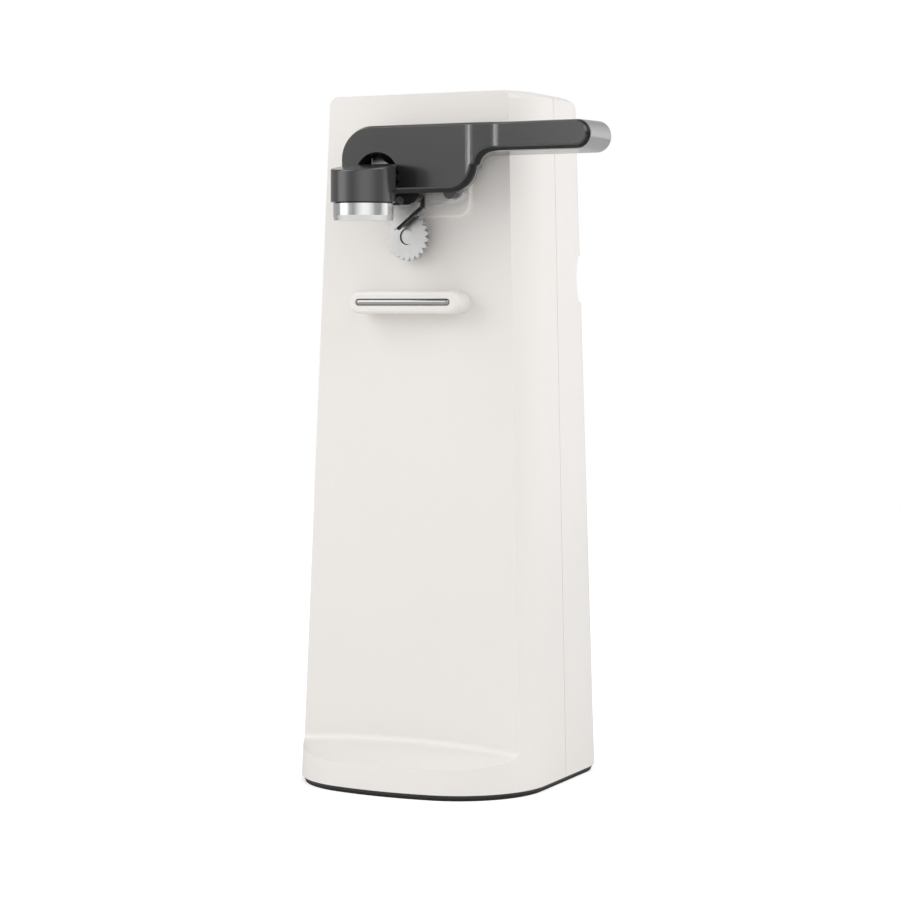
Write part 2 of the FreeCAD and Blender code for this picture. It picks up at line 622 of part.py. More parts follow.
def spindle():
    wheel_back = mm.feed_thick - mm.feed_front
    nose_front = 0.7 - mm.feed_front
    nose = rod("spindle_nose", 2.5, nose_front, wheel_back, *SPINDLE)
    collar = rod("spindle_collar", 4.2, wheel_back, wheel_back + 2.9, *SPINDLE)
    shaft = rod("spindle_shaft", "spindle_radius", wheel_back, 4.6, *SPINDLE)
    node(join("spindle", nose, collar, shaft))
    ring = rod("spindle_clip_ring", 4.4, 3.6, 4.3, *SPINDLE)
    node(cut("spindle_clip", ring, rod("spindle_clip_bore", "spindle_radius", 3, 5, *SPINDLE)))


# ---------------------------------------------------------------- motor

def motor():
    half, low, high = 26.0, 105.0, 177.0
    front, rear = "stator_front", "stator_rear"
    limb_top, window_top, window_half = 121.0, 138.0, 13.0
    core = block("stator_block", (-half, half), (front, rear), (low, high))
    bore = rod("stator_bore", "rotor_radius + rotor_gap", 5, 30, *MOTOR)
    window = block("stator_window", (-window_half, window_half), (5, 30), (limb_top, window_top))
    bolt_holes = [rod("stator_hole_%d" % (index + 1), 2.1, 5, 30, side * 20.0, mm.motor_height)
                  for index, side in enumerate((-1, 1))]
    node(cut("stator_core", core, bore, window, *bolt_holes))
    bobbin_half, gap = 12.6, 0.1
    inner = ((-bobbin_half - 1, bobbin_half + 1), (mm.stator_front - gap, mm.stator_rear + gap),
             (low - gap, limb_top + gap))
    tube = block("bobbin_tube", (-bobbin_half, bobbin_half), (8.7, 26.3), (103.7, 122.3))
    flanges = [block("bobbin_flange_%d" % (index + 1), (side * 12.0 - 0.6, side * 12.0 + 0.6),
                     (4.6, 30.4), (99.0, 127.0)) for index, side in enumerate((-1, 1))]
    node(cut("coil_bobbin", join("bobbin_solid", tube, *flanges), block("bobbin_bore", *inner)))
    winding = block("winding_outer", (-11.4, 11.4), (5.2, 29.8), (99.8, 126.2))
    node(cut("coil_winding", winding, block("winding_inner", (-12, 12), (8.7, 26.3), (103.7, 122.3))))
    spacers, bolts = [], []
    for index, side in enumerate((-1, 1), start=1):
        for name, start, end in (("front", 3.5, mm.stator_front), ("rear", mm.stator_rear, 27.0)):
            outer = rod("motor_spacer_%s_outer_%d" % (name, index), 3.6, start, end, side * 20.0, mm.motor_height)
            inner_rod = rod("motor_spacer_%s_bore_%d" % (name, index), 1.7, start - 1, end + 1,
                            side * 20.0, mm.motor_height)
            spacers.append(cut("motor_spacer_%s_%d" % (name, index), outer, inner_rod))
        bolts.append(screw_y("motor_bolt_%d" % index, (3.0, 28.5, 31.0), (1.5, 1.5, 28.5),
                             side * 20.0, mm.motor_height))
    node(group("motor_spacers", spacers))
    node(group("motor_bolts", bolts))
    bracket = block("bracket_strap", (-26, 26), (27.0, 28.5), (mm.motor_height - 9, mm.motor_height + 8))
    holes = [rod("bracket_hole_%d" % (index + 1), 1.7, 25, 30, side * 20.0, mm.motor_height)
             for index, side in enumerate((-1, 1))]
    node(cut("motor_bracket", bracket, rod("bracket_seat", 4.5, 25, 30, *MOTOR), *holes))
    shaft_bore = mm.motor_shaft_radius + mm.running_gap
    for label, low_y, high_y in (("motor_front_bush", 0.4, 5.0), ("motor_rear_bush", 26.0, 30.0)):
        ring = rod(label + "_ring", 4.5, low_y, high_y, *MOTOR)
        node(cut(label, ring, rod(label + "_bore", shaft_bore, low_y - 1, high_y + 1, *MOTOR)))


def rotor():
    shaft = rod("rotor_shaft_bar", "motor_shaft_radius", -6.4, 41.6, *MOTOR)
    collar = rod("rotor_shaft_collar", 4.2, 30.6, "grind_front", *MOTOR)
    node(join("motor_shaft", shaft, collar))
    core = rod("rotor_block", "rotor_radius", "stator_front", "stator_rear", *MOTOR)
    node(cut("rotor_core", core, rod("rotor_core_bore", "motor_shaft_radius", 5, 30, *MOTOR)))
    hub = screw_boss(*MOTOR, 4.0, 5.5, 9.6)
    blade_count, blade_length, blade_thick = 9, 8.6, 0.9
    blades = []
    for index in range(blade_count):
        blade = Part.makeBox(blade_length, 4.1, blade_thick, Vector(3.4, 5.5, -blade_thick / 2))
        blade.rotate(Vector(), Vector(0, 1, 0), 360.0 * index / blade_count)
        blade.translate(Vector(MOTOR[0], 0, MOTOR[1]))
        blades.append(blade)
    fan = hub.fuse(blades).cut(screw_boss(*MOTOR, mm.motor_shaft_radius, 0, 12))
    node(formed("cooling_fan", fan))
    wheel = rod("grind_disc", "grind_radius", "grind_front", "grind_rear", *MOTOR)
    node(cut("grinding_wheel", wheel, rod("grind_bore", "motor_shaft_radius", 30, 42, *MOTOR)))
    nut = primitive("Prism", "grind_nut_blank", {"Circumradius": 4.0, "Height": 2.2, "Polygon": 6},
                    (0, "grind_rear", "motor_height"), FRONT_TO_REAR)
    node(cut("grinding_nut", nut, rod("grind_nut_bore", "motor_shaft_radius", 38, 43, *MOTOR)))


# ---------------------------------------------------------------- lever

LEVER_SCREWS = [(14.0, 212.0), (31.0, 218.8), (68.0, 218.8)]
BLADE_SCREW = (1.6, 198.4)


def lever_outline(depth, grow, lift=0.0, step_shift=0.0, drop=0.0, reach=0.0):
    """Front view of the lever plate and handle, with the round notch for the magnet arm.

    `grow` moves the whole outline outwards, `lift` raises it, `drop` lowers the handle's underside,
    `reach` lengthens the handle and `step_shift` moves the step between plate and handle.
    """
    at = front_view(depth)
    top, bottom = mm.lever_top + grow + lift, mm.lever_bottom - grow + lift
    handle_low = mm.handle_bottom - grow - drop + lift
    left_centre = (-mm.pivot_left, mm.pivot_height + lift)
    left_radius = top - left_centre[1]
    left_foot, foot_radius = 209.6 - grow + lift, 1.5
    end_radius = (top - handle_low) / 2
    end_centre = (mm.handle_end + reach + grow - end_radius, (top + handle_low) / 2)
    notch, notch_radius = (-mm.notch_left, mm.notch_height), mm.notch_radius - 0.3 * grow
    notch_start = 180 - math.degrees(math.asin((left_foot - notch[1]) / notch_radius))
    notch_end = -math.degrees(math.asin((notch[1] - bottom) / notch_radius))
    corner, corner_radius = (21.4 - step_shift, mm.lever_bottom + 8.6 + lift), 8.6 + grow
    elbow, elbow_radius = (36.5 - step_shift, mm.handle_bottom - 5.4 - drop + lift), 5.4 - grow
    foot = (left_centre[0] - left_radius + foot_radius, left_foot + foot_radius)
    curves = [arc(notch, notch_radius, notch_start, notch_end, at), arc(corner, corner_radius, -90, -6, at),
              arc(elbow, elbow_radius, 172, 90, at), arc(end_centre, end_radius, -90, 90, at),
              arc(left_centre, left_radius, 90, 180, at), arc(foot, foot_radius, 180, 270, at)]
    edges = []
    for curve, following in zip(curves, curves[1:] + curves[:1]):
        edges += [curve, line(curve.lastVertex().Point, following.firstVertex().Point)]
    return Part.Wire(edges)


def folded(solid):
    """Sheared in narrow stretches, so that a flat front steps back towards the handle in two soft bends."""
    slope, parts = 0.18, 4
    first_bend, second_bend = (27.3, 30.6), (36.9, 40.0)
    stretches = [(-40.0, first_bend[0], 0.0)]
    for (start, end), rising in ((first_bend, True), (second_bend, False)):
        width = (end - start) / parts
        for index in range(parts):
            share = (index + 0.5) / parts
            lean = slope * (share if rising else 1 - share)
            stretches.append((start + index * width, start + (index + 1) * width, lean))
        if rising:
            stretches.append((end, second_bend[0], slope))
    stretches.append((second_bend[1], 90.0, 0.0))
    pieces, offset = [], 0.0
    for left, right, lean in stretches:
        shear = FreeCAD.Matrix()
        shear.A21 = lean
        shear.A24 = offset - lean * left
        window = Part.makeBox(right - left, 60 - mm.lever_split, 60, Vector(left, -60, 190))
        pieces.append(solid.transformGeometry(shear).common(window))
        offset += lean * (right - left)
    return pieces[0].fuse(pieces[1:])


def lever_front():
    """The dark front of the lever: a bevelled black rim with a charcoal face plate on it."""
    bevel_share = (mm.face_back - mm.rim_front) / (mm.lever_front - mm.rim_front)
    joint_grow = mm.rim_grow - (mm.rim_grow + mm.face_shrink) * bevel_share
    joint = lever_outline(-mm.face_back, joint_grow, mm.face_lift * bevel_share)
    rim_edge = lever_outline(-mm.rim_front, mm.rim_grow)
    rim = Part.Face(rim_edge).extrude(Vector(0, 6, 0)).fuse(Part.makeLoft([rim_edge, joint], True, True))
    node(formed("lever_rim", folded(rim)))
    front_edge = lever_outline(-mm.lever_front, -mm.face_shrink, mm.face_lift)
    node(formed("lever_face", folded(Part.makeLoft([joint, front_edge], True, True))))


def lever_back():
    """The bright rear shell of the lever, with the cutter's seat and the hinge lug."""
    wires = [lever_outline(-mm.lever_split, mm.rim_grow),
             lever_outline(-mm.lever_back, mm.rim_grow, step_shift=6.0, drop=0.6, reach=1.3)]
    solid = Part.makeLoft(wires, True, True)
    seat = Part.makeBox(11.0, 4.2, 6.8, Vector(-5, -mm.spacer_back, 196.0))
    lug = Part.makeBox(2.4, mm.lever_split - mm.liner_front, 12.0, Vector(-14.6, -mm.lever_split, 201.5))
    pocket = Part.makeBox(30, 10, 5.6, Vector(36, -mm.lever_split - 0.01, 215.6))
    blade_slot = Part.makeBox(11.4, mm.blade_front - mm.spacer_back, 6.9, Vector(-4, -mm.blade_front, 196.0))
    holes = [pocket, blade_slot]
    solid = solid.multiFuse([seat, lug])
    holes.append(screw_boss(*PIVOT, mm.lever_shaft_radius, -mm.liner_rear, -20))
    pin_span = Vector(1, 0, 0)
    holes.append(Part.makeCylinder(1.25, 26, Vector(-17, -mm.hinge_depth, mm.hinge_height), pin_span))
    for x, z in LEVER_SCREWS:
        holes.append(screw_boss(x, z, SHANK_RADIUS, -45, -20))
        holes.append(screw_boss(x, z, 2.7, -29.0, -20))
    holes.append(screw_boss(*BLADE_SCREW, SHANK_RADIUS, -45, -20))
    return node(formed("lever_back", solid.cut(holes)))


def notch_liner():
    """The dark plate that closes the notch behind the magnet arm."""
    disc_blank = rod("liner_disc", 8.0, "-liner_front", "-liner_rear", -mm.notch_left, mm.notch_height)
    below = block("liner_below", (-20, 10), (-35, -30), (190, 202.9))
    node(cut("notch_liner", disc_blank, below))


def lever_parts():
    node(rod("lever_shaft", "lever_shaft_radius", "-liner_rear", 17.6, *PIVOT))
    cam_lift = 2.26
    disc_blank = rod("cam_disc", 8.0, 6.0, 10.0, PIVOT[0], PIVOT[1] + cam_lift)
    node(cut("lever_cam", disc_blank, rod("cam_bore", "lever_shaft_radius", 5, 12, *PIVOT)))
    ring = rod("lever_clip_ring", 5.6, 16.6, 17.3, *PIVOT)
    node(cut("lever_clip", ring, rod("lever_clip_bore", "lever_shaft_radius", 15, 19, *PIVOT)))
    wire_radius, coil_radius, pitch, turns = 0.6, 5.4, 1.1, 5
    coils = [Part.makeTorus(coil_radius, wire_radius, Vector(PIVOT[0], 11.0 + pitch * index, PIVOT[1]),
                            Vector(0, 1, 0)) for index in range(turns)]
    leg_y = 11.0 + pitch * (turns - 1)
    leg = Part.makeCylinder(wire_radius, 11, Vector(PIVOT[0] - coil_radius, leg_y, PIVOT[1] + 1), Vector(0, 0, -1))
    node(formed("lever_spring", coils[0].fuse(coils[1:] + [leg])))
    screws = [screw_y("lever_screw_%d" % index, (2.5, -29.0, -27.6), (SHANK_RADIUS, -39.5, -29.0), x, z)
              for index, (x, z) in enumerate(LEVER_SCREWS, start=1)]
    node(group("lever_screws", screws))


def cutter():
    """The blade, its dark spacer and holder, and the can's rim guide, all under the lever plate."""
    screw_hole = screw_boss(*BLADE_SCREW, SHANK_RADIUS, -45, -20)

    def cutter_plate(label, points, front, rear):
        at = front_view(-front)
        plate_solid = slab(polygon([at(x, z) for x, z in points]), Vector(0, front - rear, 0))
        node(formed(label, plate_solid.cut(screw_hole)))
    blade_back, holder_front, seat = mm.blade_front - mm.blade_thick, 39.4, mm.lever_bottom - mm.rim_grow
    blade_points = [(-2.7, 188.8), (7.4, 196.7), (7.4, 202.8), (-3.2, 202.8), (-3.2, 191.9)]
    spacer_points = [(-1.6, 188.9), (7.9, 196.3), (7.9, seat), (7.4, seat), (7.4, 202.8), (-3.2, 202.8),
                     (-3.2, 190.5)]
    holder_points = [(-3.2, 197.05), (4.9, 197.05), (7.4, 198.0), (9.3, seat), (-3.2, seat)]
    cutter_plate("cutter_blade", blade_points, mm.blade_front, blade_back)
    cutter_plate("blade_spacer", spacer_points, blade_back, mm.spacer_back)
    cutter_plate("blade_holder", holder_points, holder_front, mm.blade_front)
    head_front = 4.2 - mm.spacer_back
    node(screw_y("blade_screw", (2.4, head_front, head_front + 1.4), (SHANK_RADIUS, -38.6, head_front), *BLADE_SCREW))
    at = front_view(-mm.blade_front)
    edges = [line(at(9.4, 196.5), at(17.3, 197.1)),
             Part.Arc(at(17.3, 197.1), at(21.4, 198.5), at(23.4, 200.3)).toShape(),
             line(at(23.4, 200.3), at(23.4, seat)), line(at(23.4, seat), at(20.8, seat)),
             Part.Arc(at(20.8, seat), at(19.7, 199.2), at(17.0, 198.3)).toShape(),
             line(at(17.0, 198.3), at(9.4, 197.1)), line(at(9.4, 197.1), at(9.4, 196.5))]
    node(formed("rim_guide", slab(edges, Vector(0, 5.3, 0))))
    at = front_view(-39.0)
    peg_x, peg_radius = 20.0, 2.1
    half_peg = [arc((peg_x, seat), peg_radius, 180, 360, at),
                line(at(peg_x + peg_radius, seat), at(peg_x - peg_radius, seat))]
    node(formed("guide_peg", slab(half_peg, Vector(0, 2.95, 0))))


def magnet_arm():
    """The magnet's cup on its tilting arm, and the pin that it tilts on."""
    cup_x, arm_x = -mm.cup_left, -mm.hinge_left
    cup = Part.makeCylinder(mm.cup_radius, 16, Vector(cup_x, -mm.cup_depth, mm.cup_bottom))
    slope, rim_height = 7.8, 209.2
    lid = Part.makeBox(40, 40, 20, Vector(-20, -20, 0))
    lid.rotate(Vector(), Vector(1, 0, 0), slope)
    lid.translate(Vector(cup_x, -mm.cup_depth, rim_height))
    cup = cup.cut(lid)
    rims = [edge for edge in cup.Edges if edge.BoundBox.ZMin > mm.cup_bottom + 5 and edge.Length > 40]
    cup = cup.makeFillet(0.5, rims)
    arm_half, barrel_radius = 4.5, 3.2
    arm = Part.makeBox(2 * arm_half, mm.cup_depth - 6 - mm.hinge_depth, 5.2,
                       Vector(arm_x - arm_half, -mm.cup_depth + 6, 203.4))
    barrel = Part.makeCylinder(barrel_radius, 2 * arm_half,
                               Vector(arm_x - arm_half, -mm.hinge_depth, mm.hinge_height), Vector(1, 0, 0))
    hole = Part.makeCylinder(1.25 + mm.running_gap, 30, Vector(-20, -mm.hinge_depth, mm.hinge_height),
                             Vector(1, 0, 0))
    arm_solid = cup.multiFuse([arm, barrel])
    node(formed("magnet_cup", arm_solid.cut(hole)))
    foot_height = mm.hinge_height + 2.2
    clip_back = -36.9
    web = Part.makeBox(0.6, clip_back + 39.5, 4.1, Vector(-9.2, -39.5, foot_height))
    foot = [Vector(x, y, foot_height)
            for x, y in ((-10.8, clip_back), (-9.6, -41.6), (0.9, -41.0), (0.6, clip_back))]
    peak = Vector(-7.0, -39.2, 213.6)
    sides = [Part.Face(Part.makePolygon([first, second, peak, first]))
             for first, second in zip(foot, foot[1:] + foot[:1])]
    clip = Part.Solid(Part.Shell(sides + [Part.Face(Part.makePolygon(foot + foot[:1]))]))
    node(formed("arm_clip", clip.fuse(web).cut(arm_solid)))
    body_top = "cup_bottom - magnet_lip"
    drum = post("magnet_drum", "magnet_radius", "magnet_bottom + magnet_bevel", body_top, cup_x, "-cup_depth")
    bevel = primitive("Cone", "magnet_foot", {"Radius1": "magnet_radius - 0.3", "Radius2": "magnet_radius",
                                              "Height": "magnet_bevel"}, (cup_x, "-cup_depth", "magnet_bottom"))
    lip = primitive("Cone", "magnet_neck", {"Radius1": "magnet_radius", "Radius2": "magnet_radius - magnet_lip",
                                            "Height": "magnet_lip"}, (cup_x, "-cup_depth", body_top))
    node(join("magnet", drum, bevel, lip))
    node(rod_x("hinge_pin", 1.25, -14.6, 8.9, "-hinge_depth", "hinge_height"))


# ---------------------------------------------------------------- switch and fasteners

SWITCH_SCREWS = [(6.5, 215.0), (20.5, 215.0)]


def switch():
    case = block("switch_block", (2.6, 23.0), (3.5, 12.0), (206.4, 217.4))
    holes = [rod_x("switch_bore", 1.75, 1.0, 8.5, 8.0, mm.pivot_height)]
    holes += [rod("switch_hole_%d" % (index + 1), 1.1, 2, 14, x, z) for index, (x, z) in enumerate(SWITCH_SCREWS)]
    node(cut("switch_case", case, *holes))
    node(rod_x("switch_button", 1.7, -0.55, 6.0, 8.0, mm.pivot_height))
    screws = [screw_y("switch_screw_%d" % (index + 1), (2.0, 12.0, 13.4), (1.05, 1.6, 12.0), x, z)
              for index, (x, z) in enumerate(SWITCH_SCREWS)]
    node(group("switch_screws", screws))


def fasteners():
    screws = [screw_y("shell_screw_%d" % (index + 1), (3.0, 14.0, 16.2), (SHANK_RADIUS, -8.0, 14.0), x, z)
              for index, (x, z) in enumerate(SHELL_SCREWS)]
    node(group("shell_screws", screws))
    screws = []
    for index, (x, y) in enumerate(BASE_SCREWS, start=1):
        head = post("base_screw_head_%d" % index, 2.9, 1.2, 2.6, x, y)
        shank = post("base_screw_shank_%d" % index, SHANK_RADIUS, 2.6, 13.0, x, y)
        screws.append(join("base_screw_%d" % index, head, shank))
    node(group("base_screws", screws))


# ---------------------------------------------------------------- build, check and export

for build in (front_shell, rear_shell, base_cover, foot_ring, cord_gland, rest_rod, gearbox, gear_train,
              feed_wheel, spindle, motor, rotor, lever_front, lever_back, notch_liner, lever_parts, cutter,
              magnet_arm, switch, fasteners):
    build()
doc.recompute()

for obj in doc.Objects:
    if "Invalid" in obj.State or "Error" in obj.State:
        raise RuntimeError("%s failed to compute" % obj.Label)
for piece in nodes:
    if piece.Shape.isNull() or not piece.Shape.isValid():
        raise RuntimeError("%s has no valid shape" % piece.Label)

os.makedirs("parts", exist_ok=True)
for piece in nodes:
    piece.Shape.exportStep("parts/%s.step" % piece.Label)
print("%d nodes written" % len(nodes))
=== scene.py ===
# %% [markdown]
# # Electric can opener
# The opener is an upright white body with a dark cutting lever, a magnet, a toothed feed wheel and
# a can rest. Its parts arrive already modelled and already in place, so this lesson is about looks:
# a camera, a studio, and a finish for every piece. Everything is in metres.

# %% Load the frame and note its size
import json
import math

import bmesh
import bpy
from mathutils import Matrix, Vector


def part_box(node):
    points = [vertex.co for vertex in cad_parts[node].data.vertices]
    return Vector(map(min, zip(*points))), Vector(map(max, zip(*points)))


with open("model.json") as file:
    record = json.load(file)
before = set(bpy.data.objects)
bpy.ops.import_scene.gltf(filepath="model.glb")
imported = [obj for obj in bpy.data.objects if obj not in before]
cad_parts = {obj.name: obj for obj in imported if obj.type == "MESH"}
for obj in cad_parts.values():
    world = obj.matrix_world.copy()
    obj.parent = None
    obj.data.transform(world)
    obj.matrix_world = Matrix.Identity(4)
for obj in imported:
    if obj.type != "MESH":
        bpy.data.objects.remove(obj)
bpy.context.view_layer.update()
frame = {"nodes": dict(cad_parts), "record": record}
nodes = frame["nodes"]
body_low, body_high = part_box("front_shell")
print("pieces in the frame:", len(nodes))
print("front shell stands", round(body_high.z - body_low.z, 3), "m high")

# %% [markdown]
# ## The camera
# A long lens from the right and slightly above the middle keeps the tall body's sides nearly
# parallel. The camera looks at a point a little under the middle of the body.

# %% Aim a long lens at the body
AZIMUTH, ELEVATION = math.radians(28.24), math.radians(3.113)
DISTANCE = 0.92148
LENS_MILLIMETRES = 105.88
target = Vector((-0.0006, 0.0, 0.1134))
direction = Vector((math.sin(AZIMUTH) * math.cos(ELEVATION),
                    -math.cos(AZIMUTH) * math.cos(ELEVATION), math.sin(ELEVATION)))
camera_data = bpy.data.cameras.new("camera")
camera_data.lens = LENS_MILLIMETRES
camera = bpy.data.objects.new("camera", camera_data)
camera.location = target + direction * DISTANCE
camera.rotation_euler = direction.to_track_quat("Z", "Y").to_euler()
bpy.context.collection.objects.link(camera)
bpy.context.scene.camera = camera
print("camera at", [round(value, 3) for value in camera.location])

# %% [markdown]
# ## The studio
# White goods are lit from all round, and polished metal shows whatever stands round it. So the
# studio is a ring of paler and darker walls, painted on the world by direction, and soft lights
# above shape the flat faces. The camera itself sees plain white paper behind the object.

# %% A ring of pale and dark studio walls
scene = bpy.context.scene
scene.view_settings.view_transform = "Standard"
# Bearing round the object in degrees, from the front towards its right, and the wall's brightness.
WALLS = ((-90, 0.45), (-74, 0.45), (-64, 1.7), (-42, 1.7), (-34, 1.2), (-24, 0.55), (-8, 0.42),
         (3, 0.70), (14, 1.0), (28, 1.25), (48, 1.2), (64, 0.85), (76, 0.45), (98, 0.40),
         (110, 0.90), (125, 1.2), (155, 1.25), (190, 0.8), (230, 0.50), (270, 0.45))
world = bpy.data.worlds.new("studio")
scene.world = world
world.use_nodes = True
studio = world.node_tree
backdrop = studio.nodes["Background"]
backdrop.inputs["Strength"].default_value = 1.0
bearing = studio.nodes.new("ShaderNodeTexGradient")
bearing.gradient_type = "RADIAL"
looking = studio.nodes.new("ShaderNodeTexCoord").outputs["Generated"]
studio.links.new(looking, bearing.inputs["Vector"])
walls = studio.nodes.new("ShaderNodeValToRGB")
studio.links.new(bearing.outputs["Fac"], walls.inputs["Fac"])
stops = walls.color_ramp.elements
while len(stops) < len(WALLS):
    stops.new(0.5)
for stop, (degrees, brightness) in zip(stops, WALLS):
    stop.position = (degrees + 90) / 360
    stop.color = (brightness, brightness, brightness, 1)
# The walls fade upwards into a dimmer ceiling.
height = studio.nodes.new("ShaderNodeSeparateXYZ")
studio.links.new(looking, height.inputs["Vector"])
ceiling = studio.nodes.new("ShaderNodeMapRange")
for label, value in (("From Min", 0.15), ("From Max", 0.75), ("To Min", 1.0), ("To Max", 0.6)):
    ceiling.inputs[label].default_value = value
studio.links.new(height.outputs["Z"], ceiling.inputs["Value"])
faded = studio.nodes.new("ShaderNodeVectorMath")
faded.operation = "SCALE"
studio.links.new(walls.outputs["Color"], faded.inputs[0])
studio.links.new(ceiling.outputs["Result"], faded.inputs["Scale"])
seen = studio.nodes.new("ShaderNodeLightPath").outputs["Is Camera Ray"]
paper = studio.nodes.new("ShaderNodeMix")
paper.data_type = "RGBA"
# The Mix node lists its sockets for every kind of data, so the colour ones go by number.
FIRST_COLOUR, SECOND_COLOUR, MIXED_COLOUR = 6, 7, 2
studio.links.new(seen, paper.inputs["Factor"])
studio.links.new(faded.outputs["Vector"], paper.inputs[FIRST_COLOUR])
paper.inputs[SECOND_COLOUR].default_value = (1.0, 1.0, 1.0, 1.0)
studio.links.new(paper.outputs[MIXED_COLOUR], backdrop.inputs["Color"])


# %% Soft lights


def soft_light(name, place, aim, size, watts):
    """A rectangular soft light aimed at a point."""
    data = bpy.data.lights.new(name, "AREA")
    data.shape = "RECTANGLE"
    data.size, data.size_y = size
    data.energy = watts
    light = bpy.data.objects.new(name, data)
    light.location = place
    light.rotation_euler = (Vector(place) - Vector(aim)).to_track_quat("Z", "Y").to_euler()
    bpy.context.collection.objects.link(light)
    return light


body_middle = (0.0, 0.0, 0.12)
soft_light("left_front_light", (-0.75, -0.95, 0.95), body_middle, (1.1, 1.1), 6.8)
soft_light("right_light", (1.0, -0.1, 0.9), body_middle, (1.0, 1.0), 6.2)
# A narrow strip that only the lever's face plate receives, to draw a bright line down each fold.
strip = soft_light("fold_strip", (-0.27, -1.12, 0.24), (0.02, 0.0, 0.2), (0.08, 0.5), 1.5)
strip_targets = bpy.data.collections.new("fold_strip_targets")
strip_targets.objects.link(nodes["lever_face"])
strip.light_linking.receiver_collection = strip_targets

# %% A pale floor
FLOOR_HALF_SIZE = 1.2
FLOOR_GLOW = 0.45
floor_mesh = bpy.data.meshes.new("floor")
sheet = bmesh.new()
bmesh.ops.create_grid(sheet, x_segments=1, y_segments=1, size=FLOOR_HALF_SIZE)
sheet.to_mesh(floor_mesh)
sheet.free()
floor = bpy.data.objects.new("floor", floor_mesh)
bpy.context.collection.objects.link(floor)
floor_finish = bpy.data.materials.new("floor_paper")
floor_finish.use_nodes = True
paper_shader = floor_finish.node_tree.nodes["Principled BSDF"]
paper_shader.inputs["Base Color"].default_value = (0.9, 0.9, 0.9, 1)
paper_shader.inputs["Roughness"].default_value = 0.9
paper_shader.inputs["Emission Color"].default_value = (1.0, 1.0, 1.0, 1)
# Only the camera sees the paper's glow, so the floor looks white and yet lights nothing from below.
floor_tree = floor_finish.node_tree
glow = floor_tree.nodes.new("ShaderNodeLightPath")
faint = floor_tree.nodes.new("ShaderNodeMath")
faint.operation = "MULTIPLY"
faint.inputs[1].default_value = FLOOR_GLOW
floor_tree.links.new(glow.outputs["Is Camera Ray"], faint.inputs[0])
floor_tree.links.new(faint.outputs[0], paper_shader.inputs["Emission Strength"])
floor_mesh.materials.append(floor_finish)

# %% [markdown]
# ## Shared surface effects
# Real moulded plastic is never quite flat: the skin carries a faint waviness and a very fine grain,
# and its gloss drifts a little from place to place. Cut and rolled steel carries lines along one
# direction. Each effect is a node group, so every material that needs it sets its own values.

# %% Helpers for node groups


def new_group(name, inputs, outputs):
    """A shader node group with named float, colour or vector sockets."""
    group = bpy.data.node_groups.new(name, "ShaderNodeTree")
    for label, kind, value in inputs:
        socket = group.interface.new_socket(label, in_out="INPUT", socket_type=kind)
        socket.default_value = value
    for label, kind in outputs:
        group.interface.new_socket(label, in_out="OUTPUT", socket_type=kind)
    return group, group.nodes.new("NodeGroupInput"), group.nodes.new("NodeGroupOutput")


def math_node(tree, operation, first, second):
    """A Math node; each operand is a socket or a number."""
    node = tree.nodes.new("ShaderNodeMath")
    node.operation = operation
    for socket, operand in zip(node.inputs, (first, second)):
        if isinstance(operand, (int, float)):
            socket.default_value = operand
        else:
            tree.links.new(operand, socket)
    return node.outputs[0]


def noise_node(tree, vector, scale, detail):
    node = tree.nodes.new("ShaderNodeTexNoise")
    node.inputs["Detail"].default_value = detail
    tree.links.new(vector, node.inputs["Vector"])
    if isinstance(scale, (int, float)):
        node.inputs["Scale"].default_value = scale
    else:
        tree.links.new(scale, node.inputs["Scale"])
    return node.outputs["Fac"]


# %% Moulded skin
FLOAT, COLOUR, VECTOR = "NodeSocketFloat", "NodeSocketColor", "NodeSocketVector"
moulded_skin, skin_in, skin_out = new_group(
    "moulded_skin",
    [("Colour", COLOUR, (0.8, 0.8, 0.8, 1)), ("Drift", FLOAT, 0.02), ("Gloss Roughness", FLOAT, 0.25),
     ("Gloss Drift", FLOAT, 0.06), ("Grain Scale", FLOAT, 900.0), ("Grain", FLOAT, 0.3),
     ("Wave Scale", FLOAT, 30.0)],
    [("Colour", COLOUR), ("Roughness", FLOAT), ("Height", FLOAT)])
place = moulded_skin.nodes.new("ShaderNodeTexCoord").outputs["Object"]
slow = noise_node(moulded_skin, place, skin_in.outputs["Wave Scale"], 2.0)
grain = noise_node(moulded_skin, place, skin_in.outputs["Grain Scale"], 4.0)
centred = math_node(moulded_skin, "SUBTRACT", slow, 0.5)
shade = moulded_skin.nodes.new("ShaderNodeHueSaturation")
brightness = math_node(moulded_skin, "MULTIPLY", centred, skin_in.outputs["Drift"])
moulded_skin.links.new(math_node(moulded_skin, "ADD", brightness, 1.0), shade.inputs["Value"])
moulded_skin.links.new(skin_in.outputs["Colour"], shade.inputs["Color"])
moulded_skin.links.new(shade.outputs["Color"], skin_out.inputs["Colour"])
gloss = math_node(moulded_skin, "MULTIPLY", centred, skin_in.outputs["Gloss Drift"])
moulded_skin.links.new(math_node(moulded_skin, "ADD", gloss, skin_in.outputs["Gloss Roughness"]),
                       skin_out.inputs["Roughness"])
fine = math_node(moulded_skin, "MULTIPLY", grain, skin_in.outputs["Grain"])
moulded_skin.links.new(math_node(moulded_skin, "ADD", fine, slow), skin_out.inputs["Height"])

